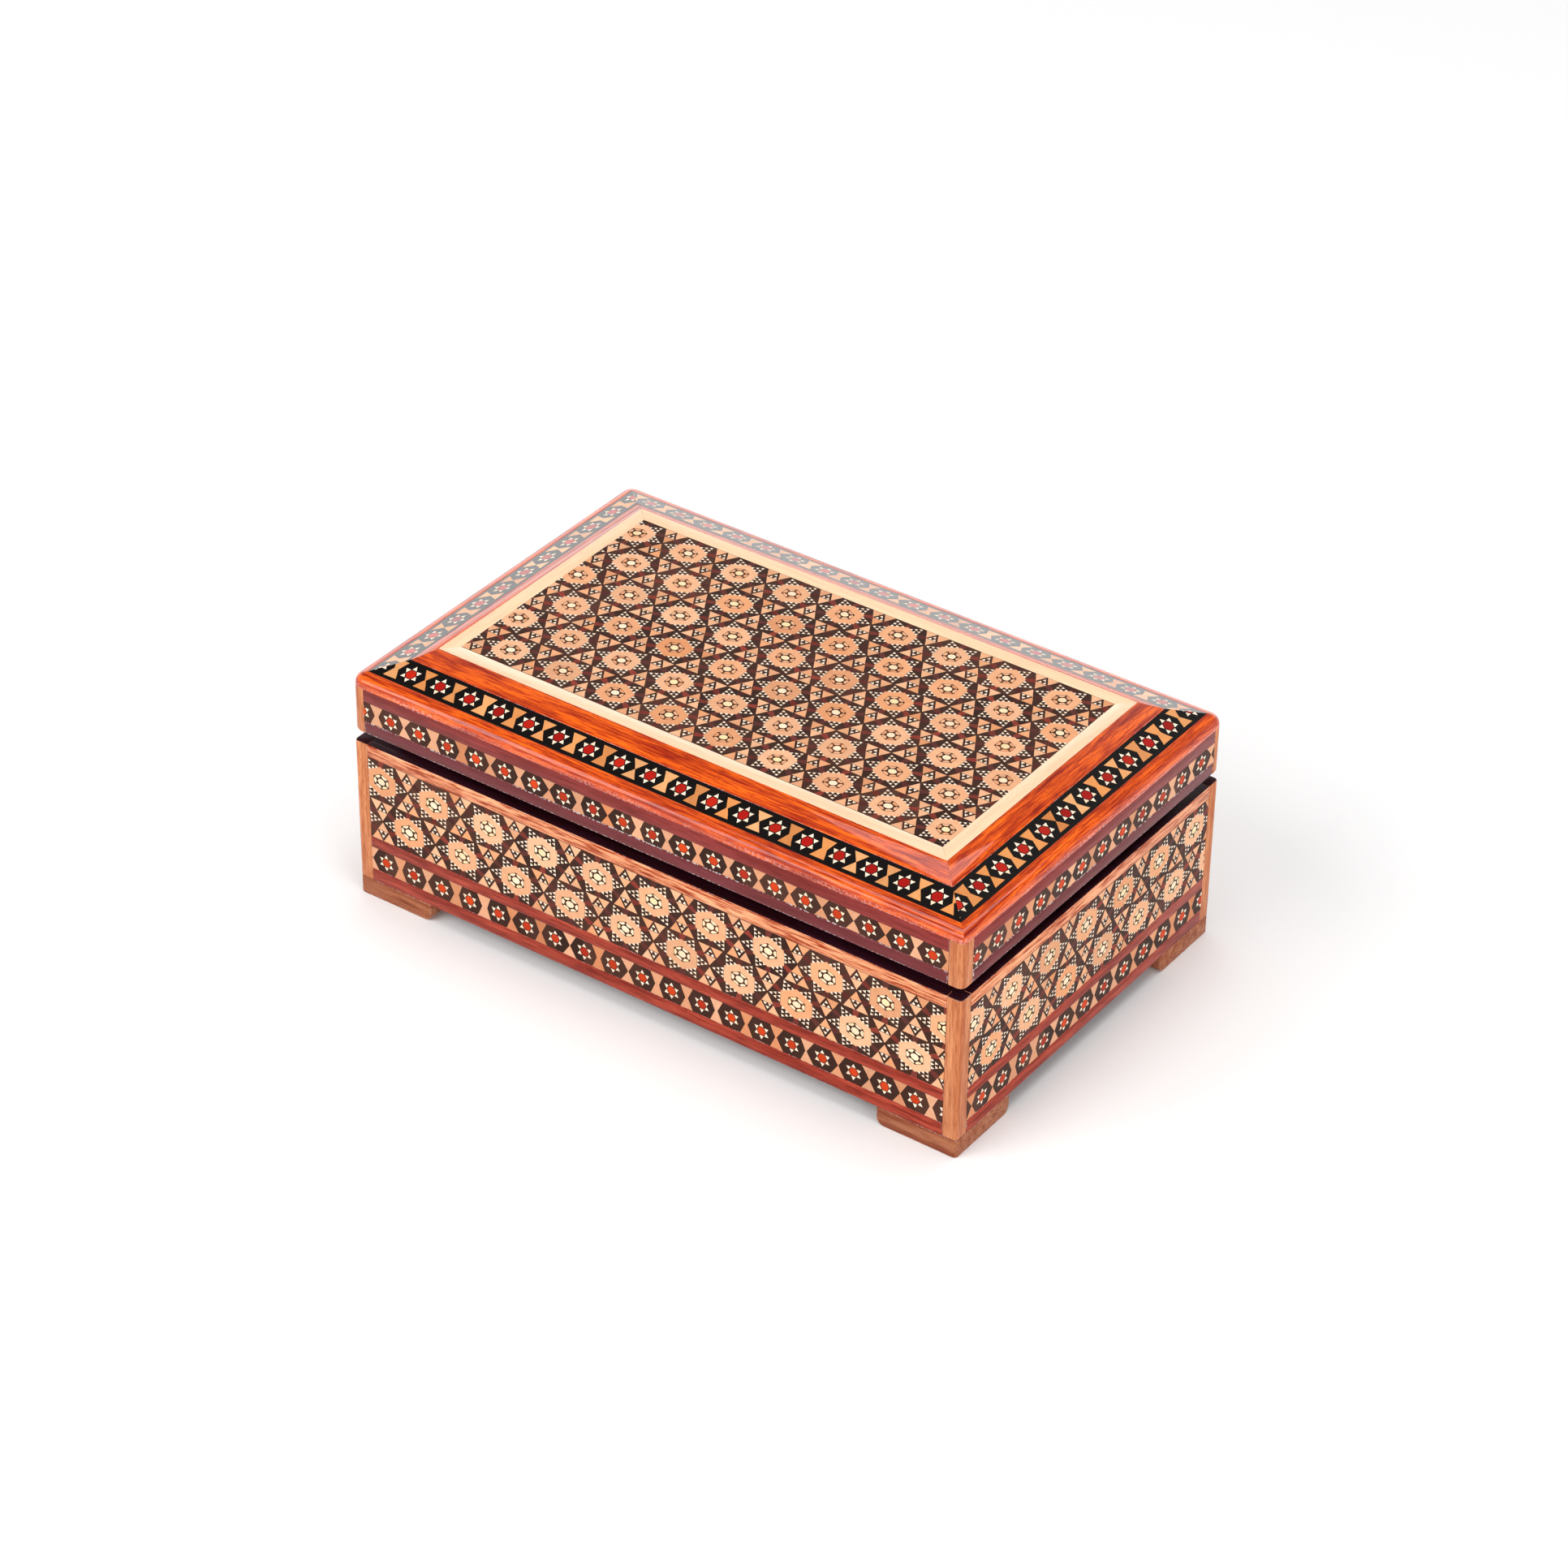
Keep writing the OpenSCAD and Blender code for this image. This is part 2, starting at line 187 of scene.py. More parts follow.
class Tree:
    """Short calls for building the nodes of a material or of the world."""

    def __init__(self, holder):
        holder.use_nodes = True
        self.holder = holder
        self.nodes = holder.node_tree.nodes
        self.links = holder.node_tree.links

    def feed(self, socket, value):
        """Links another node's output, or sets a value that is the same all over."""
        if isinstance(value, bpy.types.NodeSocket):
            self.links.new(value, socket)
        else:
            socket.default_value = value

    def set(self, node, **sockets):
        for key, value in sockets.items():
            self.feed(node.inputs[key.replace("_", " ")], value)
        return node

    def surface(self, **sockets):
        """Sets the shader's sockets and gives back the material."""
        self.set(self.nodes["Principled BSDF"], **sockets)
        return self.holder

    def add(self, kind, props=None, **sockets):
        node = self.nodes.new("ShaderNode" + kind)
        for key, value in (props or {}).items():
            setattr(node, key, value)
        return self.set(node, **sockets)

    def place(self):
        return self.add("TexCoord").outputs["Object"]

    def noise(self, scale, place, detail=3, rough=0.55):
        """Noise on the coordinates of place, scaled per metre along X, Y and Z."""
        spread = self.add("Mapping", Vector=place, Scale=scale).outputs[0]
        return self.add("TexNoise", Vector=spread, Scale=1.0, Detail=detail, Roughness=rough).outputs[0]

    def spread(self, value, low, high, to_low=0.0, to_high=1.0):
        """Spreads the values from low to high over a new range, and holds them at its ends."""
        node = self.add("MapRange", Value=value)
        for key, number in zip(("From Min", "From Max", "To Min", "To Max"), (low, high, to_low, to_high)):
            node.inputs[key].default_value = number
        return node.outputs[0]

    def maths(self, operation, a, b):
        node = self.add("Math", {"operation": operation})
        for socket, value in zip(node.inputs, (a, b)):
            self.feed(socket, value)
        return node.outputs[0]

    def mix(self, factor, a, b, blend="MIX"):
        """Mixes two colours, each a socket or an RGBA value."""
        node = self.add("Mix", {"data_type": "RGBA", "blend_type": blend})
        for number, value in ((0, factor), (6, a), (7, b)):
            self.feed(node.inputs[number], value)
        return node.outputs[2]

    def own(self, name):
        """One of the piece's own attributes."""
        return self.add("Attribute", {"attribute_name": name}).outputs["Fac"]

    def bump(self, height, strength, distance):
        return self.add("Bump", Height=height, Strength=strength, Distance=distance).outputs[0]


# Noise scales of a wood per metre: across the grain, along it
FIGURE, FIBRES, SPECKS = (600, 40), (2300, 170), (4200, 520)
# Noise scales per metre, the same in every direction
CHIPS, PATCHES, END_GRAIN, STAIN, TARNISH = ((scale,) * 3 for scale in (1500, 130, 3200, 500, 260))
HANDLING = (1800, 900, 900)


def along(grain, scales, fine):
    """A noise scale for each axis, low along the grain and high across it."""
    across, down = scales
    return tuple(down if axis == grain else across * fine for axis in "XYZ")


def times(colour, *factors):
    """An RGBA colour with its red, green and blue multiplied, kept below 1."""
    return (*(min(1, c * f) for c, f in zip(colour, factors)), 1)


def wood(
    name, shade, grain="X", figure=0.3, lines=0.35, pores=0.4, wear=0.7,
    rough=0.36, coat=0.15, gloss=0.1, fine=1.0,
):
    """Lacquered wood: broad figure, fine lines along the grain, dark pores and chipped pale edges."""
    tree = Tree(bpy.data.materials.new(name))
    place = tree.place()
    broad = tree.noise(along(grain, FIGURE, fine), place, 3)
    fibres = tree.noise(along(grain, FIBRES, fine), place, 3, 0.62)
    specks = tree.noise(along(grain, SPECKS, fine), place, 2)
    base = linear(shade)
    dark = times(base, 1 - figure, 1 - 1.5 * figure, 1 - 1.7 * figure)
    light = times(base, 1 + 0.6 * figure, 1 + 1.6 * figure, 1 + 2.2 * figure)
    body = tree.mix(tree.spread(broad, 0.34, 0.66), dark, light)
    lined = tree.mix(1.0, body, (1 - lines, 1 - 1.5 * lines, 1 - 1.7 * lines, 1), "MULTIPLY")
    body = tree.mix(tree.spread(fibres, 0.4, 0.56), lined, body)
    deep = times(base, 0.42, 0.25, 0.2)
    body = tree.mix(tree.spread(specks, 0.6, 0.7, 0, pores), body, deep)
    # Pale edge colour and its broken mask: chipping, and where strong on the lid's lower edges, partly a
    # painted highlight.
    pale_edge = (*(0.45 * c + 0.42 for c in base[:3]), 1)
    chips = tree.spread(tree.noise(CHIPS, place, 2), 0.48, 0.6)
    patches = tree.spread(tree.noise(PATCHES, place, 2), 0.4, 0.62, 0.15, wear)
    chip_and_sheen_mask = tree.maths("MULTIPLY", chips, patches)
    return tree.surface(
        Base_Color=tree.mix(tree.maths("MULTIPLY", tree.own("wear_and_sheen"), chip_and_sheen_mask), body, pale_edge),
        Roughness=tree.spread(fibres, 0.2, 0.8, rough + 0.1, rough - 0.06),
        Normal=tree.bump(tree.maths("SUBTRACT", fibres, tree.spread(specks, 0.6, 0.7)), 0.2, 0.05 * MM),
        Specular_IOR_Level=0.12,
        Coat_Weight=coat,
        Coat_Roughness=gloss,
    )


def both_ways(name, shade, **look):
    """The same wood with its grain along the front and along the short sides."""
    return [wood(name + "_long", shade, "X", **look), wood(name + "_short", shade, "Y", **look)]


def tile_wood(name, shade, vary=0.3, other=None, coat=0.05):
    """Small inlaid pieces of one wood, end grain up: each has its own tone and may lean to another shade."""
    tree = Tree(bpy.data.materials.new(name))
    place = tree.place()
    grain = tree.noise(END_GRAIN, place, 3, 0.65)
    stain = tree.noise(STAIN, place, 2)
    base = linear(shade)
    body = tree.mix(tree.own("tone"), base, linear(other)) if other else base
    dark = tree.mix(1.0, body, (1 - vary, 1 - 1.3 * vary, 1 - 1.5 * vary, 1), "MULTIPLY")
    toned = tree.mix(tree.own("shade"), body, dark)
    soft = tree.mix(1.0, toned, (0.84, 0.77, 0.7, 1), "MULTIPLY")
    toned = tree.mix(tree.spread(grain, 0.42, 0.7, 0, 0.55), toned, soft)
    toned = tree.mix(tree.spread(stain, 0.42, 0.68, 0, 0.4), toned, soft)
    return tree.surface(
        Base_Color=toned,
        Roughness=tree.spread(grain, 0.2, 0.8, 0.3, 0.44),
        Normal=tree.bump(grain, 0.1, 0.03 * MM),
        Specular_IOR_Level=0.08,
        Coat_Weight=coat,
        Coat_Roughness=0.08,
    )


def metal(name, shade):
    """Dull brass with handling marks and darker tarnish."""
    tree = Tree(bpy.data.materials.new(name))
    place = tree.place()
    marks = tree.noise(HANDLING, place, 4, 0.7)
    tarnish = tree.noise(TARNISH, place, 3)
    base = linear(shade)
    return tree.surface(
        Base_Color=tree.mix(tree.spread(tarnish, 0.45, 0.7, 0, 0.8), base, times(base, 0.4, 0.35, 0.3)),
        Metallic=1.0,
        Roughness=tree.spread(marks, 0.3, 0.7, 0.28, 0.5),
        Normal=tree.bump(marks, 0.2, 0.05 * MM),
    )


def rim_stain():
    """The dark stain on the faces along the gap, made once."""
    name = "rim_stain"
    made = bpy.data.materials.get(name)
    return made or wood(name, woods().wine, figure=0.3, lines=0.2, wear=0, rough=0.6, coat=0)


# ---- Pieces ----

SHARP = radians(25)  # Edges that turn further than this are rounded
SMOOTH = radians(32)  # Faces that meet at less than this are shaded as one
TURN_STEPS = 5  # Faces round half a corner of the lid
LIP_WEAR_AND_HIGHLIGHT = 0.5  # Pale paint on the outer mouldings' lower edge, from 0 to 1: partly rubbing, partly a painted highlight


def finish_piece(name, bm, materials, body, slot, *nodes):
    """Makes the object, puts it on its body and hides the CAD nodes that it stands for."""
    mesh = bpy.data.meshes.new(name)
    bm.normal_update()
    bm.to_mesh(mesh)
    bm.free()
    piece = bpy.data.objects.new(name, mesh)
    bpy.context.collection.objects.link(piece)
    for material in materials:
        mesh.materials.append(material)
    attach(piece, body)
    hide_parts(*nodes)
    return piece


def node_copy(name):
    """A CAD node's shape as clean flat faces."""
    bm = bmesh.new()
    bm.from_mesh(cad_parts[name].data)
    bmesh.ops.remove_doubles(bm, verts=bm.verts, dist=MERGE)
    bmesh.ops.dissolve_limit(bm, angle_limit=radians(1), verts=bm.verts, edges=bm.edges)
    return bm


def ease(bm, width):
    """Rounds the sharp edges a little and marks the rounded faces as worn."""
    wear_and_sheen = bm.faces.layers.float.new("wear_and_sheen")
    sharp = [e for e in bm.edges if e.is_manifold and e.calc_face_angle() > SHARP]
    rounded = bmesh.ops.bevel(
        bm, geom=sharp, offset=width, segments=2, profile=0.5, affect="EDGES", material=-1,
        clamp_overlap=True, offset_type="OFFSET",
    )
    for face in rounded["faces"]:
        face[wear_and_sheen] = 1.0
    shade_round(bm)


def shade_round(bm):
    """Shades faces smooth wherever they meet at less than a clear edge."""
    for face in bm.faces:
        face.smooth = True
    for edge in bm.edges:
        edge.smooth = not edge.is_manifold or edge.calc_face_angle() < SMOOTH


def cut_away(bm, point, outward):
    """Cuts off what lies beyond a plane."""
    geom = list(bm.verts) + list(bm.edges) + list(bm.faces)
    bmesh.ops.bisect_plane(bm, geom=geom, dist=CUT, plane_co=point, plane_no=outward, clear_outer=True)


def rim_at(bm, x):
    """The open edges that lie at a distance along X."""
    return [e for e in bm.edges if e.is_boundary and all(abs(v.co.x - x) < MERGE for v in e.verts)]


def turn_corner(bm, place, way):
    """Turns a moulding's open end round a corner as far as the mitre, and closes it."""
    rim = rim_at(bm, place.x)
    ends = dict.fromkeys(v for e in rim for v in e.verts)
    spun = bmesh.ops.spin(
        bm, geom=rim + list(ends), cent=place, axis=(0, 0, 1), dvec=(0, 0, 0), angle=way * pi / 4,
        steps=TURN_STEPS,
    )
    last = [g for g in spun["geom_last"] if isinstance(g, bmesh.types.BMEdge)]
    bmesh.ops.edgeloop_fill(bm, edges=last)


def stain_flats(bm, height, index):
    """Gives the level faces at a height another material, as where a cut face was stained."""
    for face in bm.faces:
        if abs(face.normal.z) > 0.9 and abs(face.calc_center_median().z - height) < 0.05 * MM:
            face.material_index = index


def islands(bm):
    """The separate solids of a copied node, each as a mesh of its own."""
    bm.verts.index_update()
    seen = set()
    parts = []
    for first in bm.verts:
        if first.index in seen:
            continue
        group, reach = {first.index}, [first]
        while reach:
            vert = reach.pop()
            for edge in vert.link_edges:
                other = edge.other_vert(vert)
                if other.index not in group:
                    group.add(other.index)
                    reach.append(other)
        seen |= group
        part = bm.copy()
        others = [v for v in part.verts if v.index not in group]
        bmesh.ops.delete(part, geom=others, context="VERTS")
        parts.append(part)
    bm.free()
    return parts


def join(parts):
    """Several meshes as one, each staying a closed solid."""
    whole = bmesh.new()
    for part in parts:
        mesh = bpy.data.meshes.new("part")
        part.to_mesh(mesh)
        part.free()
        whole.from_mesh(mesh)
        bpy.data.meshes.remove(mesh)
    return whole


def part_box(bm):
    """The lowest and highest corners of a mesh."""
    low = [min(v.co[i] for v in bm.verts) for i in range(3)]
    high = [max(v.co[i] for v in bm.verts) for i in range(3)]
    return low, high


def side_of(box):
    """Which side of the box a strip with the given low and high corners lies on."""
    x, y = ((box[0][i] + box[1][i]) / 2 for i in (0, 1))
    if abs(x) / BODY_X > abs(y) / BODY_Y:
        return "right" if x > 0 else "left"
    return "back" if y > 0 else "front"


def is_long(side):
    return side in ("front", "back")


def run_of(side):
    """The axis that a side runs along, which is its grain too: 0 for X and 1 for Y."""
    return 0 if is_long(side) else 1


def furthest(box, axis):
    """How far a box reaches from the middle along an axis."""
    return max(abs(corner[axis]) for corner in box)


# ---- Inlay ----

EBONY, PEACH, BONE, CREAM, UMBER, RUSSET, SCARLET, AMBER = range(8)

# Sizes in a medallion, as shares of half the distance between two medallions
ROW_HALF = sqrt(3) / 2
RING, RING_RISE = 0.612, 1.05
POINT_FOOT, POINT_TIP, POINT_HALF, POINT_TILE = 0.53, 0.95, 0.245, 0.74
STAR_RIM, HUB = 0.335, 0.14
PETAL = ((0.275, -0.085), (0.275, 0.085), (0.235, 0.12), (0.18, 0.04), (0.18, -0.04), (0.235, -0.12))
GAP_HALF, GAP_TIP, GAP_TILE, GAP_WHITE, GAP_DOT = 0.435, 0.02, 0.92, 0.74, 0.74
ARM = ((0.6, -0.05), (0.88, -0.13), (0.9, 0.1), (0.62, 0.09))

MEDALLIONS = 5  # Different medallions, each leaning and straying by itself
LEAN, STRAY_X, STRAY_Y = radians(7), 0.04, 0.03
CORNER_SNAP = 1e-6  # Corners nearer than this to a tile's outline lie on it
CALM = 2 * MM  # Distance from an edge within which the wandering dies out
TONE_GRID = 4  # Places per millimetre that give tiles different tones
WANDER_SEED = 5

# How far each kind of row is shifted along its length, and how far the rows on the top stray
LONG_SHIFT, SHORT_SHIFT, TOP_SHIFTS, TOP_STRAY = 1.8 * MM, -2.2 * MM, (-3.9 * MM, 3.2 * MM), 1.3 * MM
BODY_STAR_SHIFT, LID_STAR_SHIFT, SLOPE_SHIFT = 2.6 * MM, -2.1 * MM, 0.6 * MM
# The first seed of each kind of row
SIDE_SEED, STAR_SEED, TOP_SEED, SLOPE_SEED = 3, 11, 40, 60


def inlay_woods():
    """The woods of the panels and the side strips, in the order of their numbers, made once."""
    w = woods()
    looks = (
        ("ebony", w.ebony, 0.3, (0.32, 0.19, 0.14)),
        ("peach", w.peach, 0.18, (0.9, 0.62, 0.43)),
        ("bone", w.bone, 0.1, (0.97, 0.86, 0.74)),
        ("cream", w.cream, 0.1, (0.96, 0.87, 0.66)),
        ("umber", w.umber, 0.4, (0.42, 0.2, 0.09)),
        ("russet", w.russet, 0.4, (0.56, 0.22, 0.17)),
        ("scarlet", w.scarlet, 0.3, (0.66, 0.14, 0.06)),
        ("amber", w.amber, 0.22, (0.83, 0.53, 0.35)),
    )
    return [bpy.data.materials.get(look[0]) or tile_wood(*look) for look in looks]


def slope_woods():
    """The woods of the star bands on the slope, in the same order."""
    w = woods()
    tiles = inlay_woods()
    tiles[EBONY] = tile_wood("jet", w.jet, 0.3, None, 0.7)
    tiles[SCARLET] = tile_wood("ruby", w.ruby, 0.4, (0.8, 0.16, 0.05), 0.7)
    tiles[AMBER] = tile_wood("honey", w.honey, 0.25, (0.93, 0.7, 0.48), 0.7)
    return tiles


def ngon(x, y, radius, sides, turn=0.0, rise=1.0):
    """The corners of a regular outline, with its height times rise."""
    angles = [turn + 2 * pi * i / sides for i in range(sides)]
    return [Vector((x + radius * cos(a), y + rise * radius * sin(a), 0)) for a in angles]


def flat(points):
    """Corners from their X and Y."""
    return [Vector((x, y, 0)) for x, y in points]


def shrunk(corners, share):
    """An outline drawn in towards its middle."""
    centre = sum(corners, Vector()) / len(corners)
    return [centre + (corner - centre) * share for corner in corners]


def turned(corners, angle, move=(0, 0)):
    """An outline turned about the middle of its sheet, then moved."""
    turn = Matrix.Rotation(angle, 3, "Z")
    return [turn @ corner + Vector((*move, 0)) for corner in corners]


def small_triangles(corners, rows):
    """The upright triangles of a triangle that is divided into rows, the first corner being its tip."""
    tip, left, right = corners
    for row in range(rows):
        for i in range(row + 1):
            a = tip + (left - tip) * (row / rows) + (right - left) * (i / rows)
            yield [a, a + (left - tip) / rows, a + (right - tip) / rows]


class Sheet:
    """A flat sheet of ground wood that tiles are let into, flush with its face."""

    def __init__(self, half_x, half_y):
        self.bm = bmesh.new()
        bmesh.ops.create_grid(self.bm, x_segments=1, y_segments=1, size=1)
        bmesh.ops.scale(self.bm, vec=(half_x, half_y, 1), verts=self.bm.verts)
        self.tile = self.bm.faces.layers.int.new("tile")
        self.centres = [Vector()]

    def near(self, corners):
        """The faces that an outline may cut."""
        low_x, high_x = min(c.x for c in corners), max(c.x for c in corners)
        low_y, high_y = min(c.y for c in corners), max(c.y for c in corners)
        for face in self.bm.faces:
            xs = [v.co.x for v in face.verts]
            ys = [v.co.y for v in face.verts]
            if min(xs) < high_x and max(xs) > low_x and min(ys) < high_y and max(ys) > low_y:
                yield face

    def let_in(self, corners, wood_number):
        """Cuts a convex tile's outline into the sheet and gives what lies inside it to a wood."""
        a, b, c = corners[:3]
        if (b - a).cross(c - a).z < 0:
            corners = corners[::-1]
        inside = list(self.near(corners))
        for a, b in zip(corners, corners[1:] + corners[:1]):
            outward = Vector((b.y - a.y, a.x - b.x, 0)).normalized()
            geom = dict.fromkeys(inside)
            for face in inside:
                geom.update(dict.fromkeys([*face.edges, *face.verts]))
            cut = bmesh.ops.bisect_plane(
                self.bm, geom=list(geom), dist=CORNER_SNAP, plane_co=a, plane_no=outward
            )
            faces = [g for g in cut["geom"] if isinstance(g, bmesh.types.BMFace)]
            inside = [f for f in faces if (f.calc_center_median() - a).dot(outward) < 0]
        self.centres.append(sum(corners, Vector()) / len(corners))
        for face in inside:
            face.material_index = wood_number
            face[self.tile] = len(self.centres) - 1

    def cell(self, name):
        """The sheet as a mesh that rows are laid from, with the middle of each tile."""
        mesh = bpy.data.meshes.new(name)
        self.bm.to_mesh(mesh)
        self.bm.free()
        return mesh, self.centres


def lay_gap(sheet, x, up):
    """The triangle between two medallions: three peach corners round a chequered one."""
    tip = Vector((x, up * GAP_TIP, 0))
    foot = up * ROW_HALF
    ends = flat(((x - GAP_HALF, foot), (x + GAP_HALF, foot)))
    for corners in small_triangles([tip, *ends], 2):
        sheet.let_in(shrunk(corners, GAP_TILE), PEACH)
    sides = [(tip + end) / 2 for end in ends]
    middle = (sides[0] + sides[1]) / 2
    corners = ((ends[0] + ends[1]) / 2, *sides)
    chequer = [middle + (corner - middle) * GAP_WHITE for corner in corners]
    for corners in small_triangles(chequer, 2):
        sheet.let_in(shrunk(corners, GAP_DOT), BONE)


def medallion_cell(seed, petal):
    """One medallion and half of each neighbouring gap, as wide as 2 and as high as 2 * ROW_HALF."""
    sheet = Sheet(1, ROW_HALF)
    stray = [noise.noise(Vector((seed * 1.7, k * 2.3 + 0.4, 0.5))) for k in range(3)]
    lean = LEAN * stray[0]
    move = (STRAY_X * stray[1], STRAY_Y * stray[2])
    for x in (-1, 1):
        for up in (-1, 1):
            lay_gap(sheet, x, up)
    for k in range(6):
        sheet.let_in(turned(flat(ARM), radians(30 + 60 * k), move), RUSSET)
    for k in range(6):
        point = flat(((POINT_TIP, 0), (POINT_FOOT, POINT_HALF), (POINT_FOOT, -POINT_HALF)))
        for corners in small_triangles(point, 3):
            sheet.let_in(turned(shrunk(corners, POINT_TILE), radians(60 * k) + lean, move), BONE)
    sheet.let_in(ngon(*move, RING, 6, radians(30) + lean / 2, RING_RISE), PEACH)
    sheet.let_in(ngon(*move, STAR_RIM, 6, radians(30) + lean), UMBER)
    for k in range(6):
        sheet.let_in(turned(flat(PETAL), radians(60 * k) + lean, move), petal)
    sheet.let_in(ngon(*move, HUB, 8, lean), CREAM)
    return sheet.cell(f"medallion_{seed}")


# A star's points and middle, as shares of its radius
STAR_FOOT, STAR_HALF, STAR_MIDDLE = 0.56, 0.25, 0.54
# Waist, lean and half width of each kind of hourglass, in millimetres
HOURGLASSES = ((0.02, 0.1, 1.75), (0.15, -0.15, 1.65), (0.5, 0.05, 1.7), (0.65, 0.2, 1.8), (0.3, -0.1, 1.6))


def star_cell(kind, pitch, height, zone, tip):
    """One hourglass with half a star on each side of it."""
    sheet = Sheet(pitch / 2, height / 2)
    waist, lean, wide = (size * MM for size in HOURGLASSES[kind])
    top = zone / 2
    for up in (-1, 1):
        ends = ((lean - waist, 0), (lean + waist, 0), (wide, up * top), (-wide, up * top))
        sheet.let_in(flat(ends), AMBER)
    for x in (-pitch / 2, pitch / 2):
        for k in range(6):
            foot, half = STAR_FOOT * tip, STAR_HALF * tip
            point = flat(((tip, 0), (foot, half), (foot, -half)))
            sheet.let_in(turned(point, radians(30 + 60 * k), (x, 0)), BONE)
        sheet.let_in(ngon(x, 0, STAR_MIDDLE * tip, 6), SCARLET)
    return sheet.cell(f"star_{kind}")


def close_seam(bm, x):
    """Gives both sides of a seam between two cells the same corners, so that they can be merged."""
    here = [v for v in bm.verts if abs(v.co.x - x) < MERGE]
    heights = sorted({round(v.co.y / MERGE) * MERGE for v in here})
    for edge in rim_at(bm, x):
        low, high = sorted(edge.verts, key=lambda v: v.co.y)
        for y in heights:
            if low.co.y + MERGE < y < high.co.y - MERGE:
                low = bmesh.utils.edge_split(edge, low, (y - low.co.y) / (high.co.y - low.co.y))[1]
                edge = next(e for e in low.link_edges if high in e.verts)


def lay_cells(cells, pitch, scale, long, phase, seed):
    """A row of cells along X, longer than is needed, with a tone for each tile."""
    bm = bmesh.new()
    for word in ("tone", "shade"):
        bm.faces.layers.float.new(word)
    bm.faces.layers.int.new("tile")
    count = int(long / pitch) + 3
    middles = [(i - count // 2) * pitch + phase for i in range(count)]
    for i, x in enumerate(middles):
        pick = int(noise.cell(Vector((i + 0.5, seed + 0.5, 3.5))) * 997) % len(cells)
        mesh, centres = cells[pick]
        verts, faces = len(bm.verts), len(bm.faces)
        bm.from_mesh(mesh)
        bm.verts.ensure_lookup_table()
        bm.faces.ensure_lookup_table()
        tile = bm.faces.layers.int["tile"]
        tone, shade = (bm.faces.layers.float[word] for word in ("tone", "shade"))
        place = Matrix.Translation((x, 0, 0)) @ Matrix.Diagonal((*scale, 1, 1))
        bmesh.ops.transform(bm, matrix=place, verts=bm.verts[verts:])
        for face in bm.faces[faces:]:
            spot = place @ centres[face[tile]] / MM
            here = (round(axis * TONE_GRID) + 0.5 for axis in spot.xy)
            key = Vector((*here, seed * 9 + face.material_index + 0.5))
            face[tone] = noise.cell(key) ** 2
            face[shade] = noise.cell(key + Vector((0, 0, 500))) ** 2
    for x in middles:
        close_seam(bm, x - pitch / 2)
    bmesh.ops.remove_doubles(bm, verts=bm.verts, dist=MERGE)
    return bm


def clear_cuts(bm):
    """Removes the cuts inside the tiles; the ground keeps its own, so that all its faces stay convex."""
    inside = []
    for edge in bm.edges:
        both = {face.material_index for face in edge.link_faces}
        if len(both) == 1 and EBONY not in both and not edge.is_boundary:
            inside.append(edge)
    bmesh.ops.dissolve_edges(bm, edges=inside)


def wander(bm, outline, seed):
    """Moves the corners of the tiles a little, less and less towards the outline."""
    reach = inlay().wander
    noise.seed_set(WANDER_SEED)
    for vert in bm.verts:
        room = max(0, min((point - vert.co).dot(outward) for point, outward in outline))
        spot = Vector((vert.co.x / reach, vert.co.y / reach, seed * 7.3))
        drift = noise.noise_vector(spot) * 0.75 + noise.noise_vector(spot * 3.1) * 0.25
        vert.co += Vector((drift.x, drift.y, 0)) * inlay().wobble * min(1, room / CALM)


def stick(cells, pitch, scale, long, height, phase, seed, mitre=0.0):
    """A row of cells cut to its outline; over its height, each end leans by the mitre."""
    bm = lay_cells(cells, pitch, scale, long, phase, seed)
    outline = []
    for sign in (-1, 1):
        outward = Vector((sign * height, mitre, 0)).normalized()
        outline.append((Vector((sign * long / 2, -height / 2, 0)), outward))
        cut_away(bm, *outline[-1])
    outline += [(Vector((0, sign * height / 2, 0)), Vector((0, sign, 0))) for sign in (-1, 1)]
    clear_cuts(bm)
    wander(bm, outline, seed)
    return bm


def thicken(bm, down):
    """Closes a flat sheet into a slab by drawing its rim along down and filling the far side."""
    rim = [e for e in bm.edges if e.is_boundary]
    drawn = bmesh.ops.extrude_edge_only(bm, edges=rim)
    verts = [g for g in drawn["geom"] if isinstance(g, bmesh.types.BMVert)]
    edges = [g for g in drawn["geom"] if isinstance(g, bmesh.types.BMEdge) and g.is_boundary]
    bmesh.ops.translate(bm, verts=verts, vec=down)
    bmesh.ops.edgeloop_fill(bm, edges=edges)
    bmesh.ops.recalc_face_normals(bm, faces=bm.faces)


def facing(side):
    """Turns a sheet drawn in XY, face up, to stand on a side of the box with its face outwards."""
    return Matrix.Rotation(pi / 2 * SIDES.index(side), 4, "Z") @ Matrix.Rotation(pi / 2, 4, "X")


def lay_upright(box, cells, rows, pitch, scale, phase, seed):
    """Inlays one upright strip: rows of cells in the space between two corners."""
    low, high = box
    side = side_of(box)
    run = run_of(side)
    wide, thick = high[run] - low[run], high[1 - run] - low[1 - run]
    tall = (high[2] - low[2]) / rows
    away = furthest(box, 1 - run)
    parts = []
    for row in range(rows):
        shift = phase + (pitch / 2 if row % 2 else 0)
        bm = stick(cells, pitch, scale, wide, tall, shift, seed + row + 5 * SIDES.index(side))
        thicken(bm, Vector((0, 0, -thick)))
        lift = Matrix.Translation((0, high[2] - (row + 0.5) * tall, away))
        bmesh.ops.transform(bm, matrix=facing(side) @ lift, verts=bm.verts)
        parts.append(bm)
    return parts


def cell_scale(pitch, tall):
    """What a medallion cell is multiplied by to be as wide as the pitch and as tall as its row."""
    return pitch / 2, tall / (2 * ROW_HALF)


# ---- Operators ----


